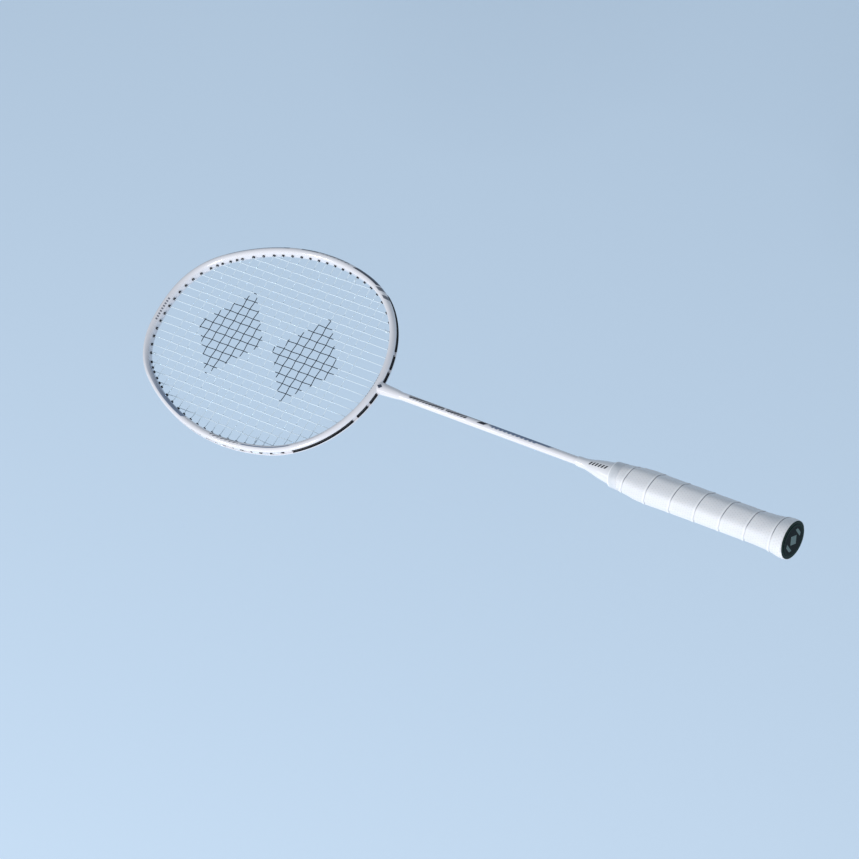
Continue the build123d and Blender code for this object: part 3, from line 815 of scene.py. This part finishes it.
def main_route():
    """All the mains as one string, from the left knot, over the tip's middle, to the right knot."""
    level = -LAYER
    half = right_half_route(level)
    right_knot = knot(MAIN_TIE, level, Vector((-1, 0, 0)))
    left_knot = knot(180 - MAIN_TIE, level, Vector((1, 0, 0)))
    middle = [ring_point(90, STRING_LINE, level)]
    return left_knot[::-1] + other_half(half)[::-1] + middle + half + right_knot


def cross_route():
    """All the crosses as one string, from a knot at the upper left to one at the lower right."""
    level = LAYER
    points = knot(180 - UPPER_CROSS_TIE, level, Vector((0, -1, 0)))[::-1]
    points += loop(180 - UPPER_CROSS_TIE, 180 - CROSS_ANGLES[0], level)
    for row in range(CROSSES):
        rightward = row % 2 == 0
        crossings = cross_weave(row)
        points += crossings if rightward else crossings[::-1]
        if row < CROSSES - 1:
            above, below = CROSS_ANGLES[row], CROSS_ANGLES[row + 1]
            if not rightward:
                above, below = 180 - above, 180 - below
            points += loop(above, below, level)
    points += loop(CROSS_ANGLES[-1], LOWER_CROSS_TIE, level)
    return points + knot(LOWER_CROSS_TIE, level, Vector((0, 1, 0)))


def string_curve(name, points):
    """A round string along a smooth spline."""
    curve = bpy.data.curves.new(name, "CURVE")
    curve.dimensions = "3D"
    curve.bevel_depth = STRING_RADIUS
    curve.bevel_resolution = 2
    curve.use_fill_caps = True
    curve.resolution_u = 5
    spline = curve.splines.new("NURBS")
    spline.points.add(len(points) - 1)
    for control, point in zip(spline.points, points):
        control.co = (*point, 1.0)
    spline.order_u = 3
    spline.use_endpoint_u = True
    return curve


def woven_string(name, points, node, material):
    """One string as a mesh, standing for its CAD node."""
    draft = placed(name, string_curve(name, points))
    shaped = draft.evaluated_get(bpy.context.evaluated_depsgraph_get())
    mesh = bpy.data.meshes.new_from_object(shaped)
    bpy.data.objects.remove(draft)
    mesh.materials.clear()
    mesh.materials.append(material)
    mesh.shade_smooth()
    piece = placed(name, mesh)
    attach(piece, "root")
    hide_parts(node)


# ----------------------------------------------------------------------- grip

SEAM_Y = 35.15 * MM
TAPE_PITCH = 24.2 * MM
TAPE_GIRTH = 83 * MM
PORE_PITCH = 2.4 * MM
# How unevenly the seam climbs round a turn, and how much more so over the butt.
UNEVEN_PITCH = 0.5
UNEVEN_BUTT = 0.25
TAPE_LAP = 0.38 * MM
LAP_WIDTH = 5 * MM
TAPE_CROWN = 0.12 * MM
CREASE_DEPTH = 0.55 * MM
CREASE_WIDTH = 0.8 * MM
FAR_CREASE_WIDTH = 0.6 * CREASE_WIDTH
FACETS = 8
FACET_DEPTH = 0.3 * MM
FACET_SHIFT = 0.2
# The tape lies flatter up to FLAT_TOP from its top end, and the handle is round up to ROUND_BUTT.
FLAT_TOP = 4 * MM
FLAT_TOP_FADE = 10 * MM
FLAT_SHARE = 0.35
ROUND_BUTT = 12 * MM
ROUND_BUTT_FADE = 20 * MM
WRAP_START = 0.8 * MM
RIM_DEPTH = 0.35 * MM
RIM_WIDTH = 0.9 * MM
END_TUCK = 0.93
STEPS_PER_TURN = 96
FIRST_STEP = round(-2.5 * STEPS_PER_TURN)
LAST_STEP = round(6.0 * STEPS_PER_TURN)
# Where the tape's profile has points: in mm from its near edge, as shares of its width,
# and in mm from its far edge.
NEAR_EDGE = (0.0, 0.12, 0.28, 0.42, 0.6, 0.85, 1.2, 1.8, 3.0, 4.5)
MIDDLE = (0.35, 0.5, 0.65, 0.8)
FAR_EDGE = (3.0, 1.6, 0.9, 0.55, 0.35, 0.15)
# The handle's distance from the butt, half width and half height, in mm.
GRIP_STATIONS = (
    (2.6, 16.5, 15.1),
    (5.0, 16.7, 15.3),
    (8.0, 16.3, 14.9),
    (14.0, 15.2, 13.9),
    (22.0, 14.1, 12.85),
    (32.0, 13.55, 12.3),
    (70.0, 13.55, 12.3),
    (120.0, 13.6, 12.35),
    (136.0, 13.95, 12.7),
    (147.0, 13.4, 12.3),
    (157.0, 12.0, 11.2),
    (168.0, 11.1, 10.5),
    (177.0, 10.5, 10.0),
)


def smooth(value):
    """0 below 0, 1 above 1 and smooth between."""
    value = min(max(value, 0.0), 1.0)
    return value * value * (3 - 2 * value)


def grip_half_widths(y):
    """The handle's half width and half height at a distance from the butt."""
    y = y / MM
    for (y0, x0, z0), (y1, x1, z1) in zip(GRIP_STATIONS, GRIP_STATIONS[1:]):
        if y <= y1:
            share = (y - y0) / (y1 - y0)
            eased = 0.5 * (share + smooth(share))
            return (x0 + (x1 - x0) * eased) * MM, (z0 + (z1 - z0) * eased) * MM
    return x1 * MM, z1 * MM


def seam_height(turn):
    """Where the tape's butt-side edge lies, counted in turns from the seam that is on top at SEAM_Y."""
    uneven = UNEVEN_PITCH + UNEVEN_BUTT * smooth(-turn)
    return SEAM_Y + TAPE_PITCH * (turn - uneven * sin(tau * turn) / tau)


def tape_profile(width):
    """Distances across one turn of the tape from its butt-side edge."""
    near = [distance * MM for distance in NEAR_EDGE]
    middle = [share * width for share in MIDDLE]
    return near + middle + [width - distance * MM for distance in FAR_EDGE]


def tape_lift(across, width):
    """The tape's height over the handle: lapped and rounded at one edge, tucked under at the other."""
    lap = TAPE_LAP * (1 - smooth(across / LAP_WIDTH))
    crown = TAPE_CROWN * sin(pi * across / width)
    near = 1 - smooth(across / CREASE_WIDTH)
    far = 1 - smooth((width - across) / FAR_CREASE_WIDTH)
    return lap + crown - (CREASE_DEPTH + TAPE_LAP) * near - CREASE_DEPTH * far


def grip_place(turn, across, width):
    """A place on the wound tape's skin."""
    angle = tau * turn + pi / 2
    # The handle's front and back faces are wider than its side faces.
    wide = angle + FACET_SHIFT * sin(2 * angle)
    y = seam_height(turn) + across
    half_x, half_z = grip_half_widths(max(y, GRIP_LOW.y))
    full = smooth((GRIP_HIGH.y - FLAT_TOP - y) / FLAT_TOP_FADE)
    away = smooth((y - ROUND_BUTT) / ROUND_BUTT_FADE)
    facets = FACET_DEPTH * cos(FACETS * wide) * full * away
    rim = RIM_DEPTH * (1 - smooth((y - WRAP_START) / RIM_WIDTH))
    lift = tape_lift(across, width) * (FLAT_SHARE + (1 - FLAT_SHARE) * full) - facets - rim
    flat = Vector((cos(angle), y / (12 * MM), sin(angle)))
    lift += 0.10 * MM * noise.noise(flat * 2.2) + 0.05 * MM * noise.noise(flat * 6.0)
    return Vector(((half_x + lift) * cos(angle), y, (half_z + lift) * sin(angle)))


def tape_rows(mesh):
    """The tape's profiles round the handle, as (vertex, distance along, distance across, width)."""
    rows = []
    for step in range(FIRST_STEP, LAST_STEP + STEPS_PER_TURN + 1):
        turn = step / STEPS_PER_TURN
        width = seam_height(turn + 1) - seam_height(turn)
        row = []
        for across in tape_profile(width):
            vert = mesh.verts.new(grip_place(turn, across, width))
            row.append((vert, turn * TAPE_GIRTH, across, width))
        rows.append(row)
    return rows


def wound_tape(mesh, uv):
    """The tape as one helical skin: each turn's far edge is sewn to the next turn's near edge."""
    rows = tape_rows(mesh)
    for index in range(LAST_STEP - FIRST_STEP):
        one, two = list(rows[index]), list(rows[index + 1])
        for strip, above in ((one, index), (two, index + 1)):
            sewn = rows[above + STEPS_PER_TURN][0][0]
            _, along, _, width = strip[0]
            strip.append((sewn, along, width, width))
        for place in range(len(one) - 1):
            corners = (one[place], one[place + 1], two[place + 1], two[place])
            face = mesh.faces.new([corner[0] for corner in corners])
            for loop_corner, (_, along, across, width) in zip(face.loops, corners):
                # The far edge is always TAPE_PITCH across, however much the turns overlap.
                stretch = across if across < width / 2 else across + TAPE_PITCH - width
                loop_corner[uv].uv = (along, stretch)


def trim_ends(mesh, low, high):
    """Cuts the skin square at both ends and turns each cut edge inward."""
    for height, outward in ((low, -1), (high, 1)):
        everything = list(mesh.verts) + list(mesh.edges) + list(mesh.faces)
        bmesh.ops.bisect_plane(mesh, geom=everything, plane_co=(0, height, 0),
                               plane_no=(0, outward, 0), clear_outer=True)
        rim = [edge for edge in mesh.edges if edge.is_boundary
               and all(abs(vert.co.y - height) < 1e-6 for vert in edge.verts)]
        turned = bmesh.ops.extrude_edge_only(mesh, edges=rim)["geom"]
        for vert in turned:
            if isinstance(vert, bmesh.types.BMVert):
                vert.co.x *= END_TUCK
                vert.co.z *= END_TUCK


def grip_wrap(material):
    """The wound grip over the eight-sided handle."""
    mesh = bmesh.new()
    uv = mesh.loops.layers.uv.new("tape")
    wound_tape(mesh, uv)
    loose = [vert for vert in mesh.verts if not vert.link_faces]
    bmesh.ops.delete(mesh, geom=loose, context="VERTS")
    trim_ends(mesh, WRAP_START, GRIP_HIGH.y)
    piece = finished("grip_wrap", mesh, material)
    piece.data.shade_smooth()
    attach(piece, "root")
    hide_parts("grip_tape")


# --------------------------------------------------------------------- emblem

EMBLEM_BACK = 0.05 * MM
EMBLEM_FRONT = -0.12 * MM
EMBLEM_TAPER = 0.94
# Outlines on the butt's face, as (x, z) in mm.
EMBLEM_DIAMOND = ((5.2, 0.0), (0.0, 5.6), (-5.2, 0.0), (0.0, -5.6))
EMBLEM_BAR = ((7.0, -5.0), (9.6, -3.4), (9.6, 3.4), (7.0, 5.0))


def plate(mesh, outline):
    """A thin raised flat shape on the butt's face, with a slightly smaller front."""
    corners = [Vector((x * MM, z * MM)) for x, z in outline]
    middle = sum(corners, Vector((0, 0))) / len(corners)
    base = [mesh.verts.new((corner.x, EMBLEM_BACK, corner.y)) for corner in corners]
    top = []
    for corner in corners:
        shrunk = middle + (corner - middle) * EMBLEM_TAPER
        top.append(mesh.verts.new((shrunk.x, EMBLEM_FRONT, shrunk.y)))
    mesh.faces.new(top)
    mesh.faces.new(base[::-1])
    for step in range(len(corners)):
        follow = (step + 1) % len(corners)
        mesh.faces.new((base[step], base[follow], top[follow], top[step]))


def butt_emblem(material):
    """A plain diamond with a bar on either side of it. The bars' ends are slanted."""
    mesh = bmesh.new()
    plate(mesh, EMBLEM_DIAMOND)
    for side in (-1, 1):
        plate(mesh, [(side * x, z) for x, z in EMBLEM_BAR])
    piece = finished("butt_emblem", mesh, material)
    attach(piece, "root")


# ------------------------------------------------------------- the CAD's nodes

def dress(names, material):
    """Gives CAD nodes their finished material."""
    for name in names:
        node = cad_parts[name]
        node.data.materials.clear()
        node.data.materials.append(material)


# ---------------------------------------------------------------------- stage

FLOOR_DROP = 0.30
FLOOR_HALF = 20.0
CAMERA_PLACE = (-0.8042, -1.3606, 2.3560)
CAMERA_AHEAD = (0.26008, 0.56842, -0.78055)
CAMERA_UP = (0.82611, 0.28752, 0.48464)


def floor():
    """A plain pale floor, some way below the racket."""
    shade = Shade("floor_paper")
    shade.colour(shade.blend(shade.noise(0.8, 2.0), rgb(0.60, 0.73, 0.87), rgb(0.63, 0.75, 0.88)))
    shade.roughness(0.9)
    level = cad_bounds[0][2] - FLOOR_DROP
    sides = ((-1, -1), (1, -1), (1, 1), (-1, 1))
    data = bpy.data.meshes.new("floor")
    data.from_pydata([(x * FLOOR_HALF, y * FLOOR_HALF, level) for x, y in sides], [], [(0, 1, 2, 3)])
    data.materials.append(shade.material)
    piece = placed("floor", data)


def area_light(name, place, target, size, power, colour):
    """A round lamp that faces a target."""
    light = bpy.data.lights.new(name, "AREA")
    light.shape = "DISK"
    light.size = size
    light.energy = power
    light.color = colour
    lamp = placed(name, light)
    lamp.location = place
    lamp.rotation_euler = (Vector(target) - Vector(place)).to_track_quat("-Z", "Y").to_euler()


def lights():
    """A large key lamp low on the left, a small lamp beyond the tip, and a soft pale sky."""
    middle = (0.0, 0.35, 0.0)
    area_light("key", place=(-3.15, -0.75, 1.35), target=middle, size=1.3, power=90.0,
               colour=(1.0, 0.985, 0.97))
    area_light("rim", place=(-1.9, 2.0, 1.1), target=middle, size=0.35, power=16.0,
               colour=(1.0, 1.0, 1.0))
    world = bpy.data.worlds.new("studio")
    world.use_nodes = True
    background = world.node_tree.nodes["Background"]
    background.inputs["Color"].default_value = (0.78, 0.89, 1.0, 1.0)
    background.inputs["Strength"].default_value = 0.55
    bpy.context.scene.world = world


def camera():
    """The viewing place of the picture: above the left of the butt, on a long lens."""
    ahead = Vector(CAMERA_AHEAD).normalized()
    right = ahead.cross(Vector(CAMERA_UP)).normalized()
    up = right.cross(ahead)
    lens = bpy.data.cameras.new("camera")
    lens.lens = 151.9
    lens.sensor_width = 36.0
    lens.clip_end = 100.0
    piece = placed("camera", lens)
    turn = Matrix((right, up, -ahead)).transposed()
    piece.matrix_world = Matrix.Translation(CAMERA_PLACE) @ turn.to_4x4()
    bpy.context.scene.camera = piece


def build():
    """Every material, and the pieces that replace or add to CAD nodes."""
    # Painted light: mains and crosses are one nylon in two copies, their transmission and colour tuned
    # apart for how the light catches each.
    mains_copy = string_nylon("nylon_tuned_for_mains", 0.12, rgb(0.82, 0.91, 0.98), rgb(0.79, 0.89, 0.96))
    clear = string_nylon("nylon_tuned_for_crosses", 0.16, rgb(0.84, 0.93, 1.0), rgb(0.81, 0.91, 0.98))
    black = grommet_nylon()
    dress(["head_frame"], frame_lacquer())
    dress(["t_joint"], joint_lacquer())
    dress(["shaft"], shaft_lacquer())
    dress(["cone_cap"], cone_plastic())
    dress(["handle_core"], handle_wood())
    dress(["butt_cap"], butt_plastic())
    dress(["butt_badge"], badge_enamel())
    dress(["grip_finishing_tape"], finishing_tape())
    dress([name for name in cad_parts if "grommets" in name or "strip" in name], black)
    woven_string("woven_mains", main_route(), "main_string", mains_copy)
    woven_string("woven_crosses", cross_route(), "cross_string", clear)
    grip_wrap(grip_foam())
    butt_emblem(emblem_ink())


build()
floor()
lights()
camera()
bpy.context.scene.view_settings.view_transform = "Standard"
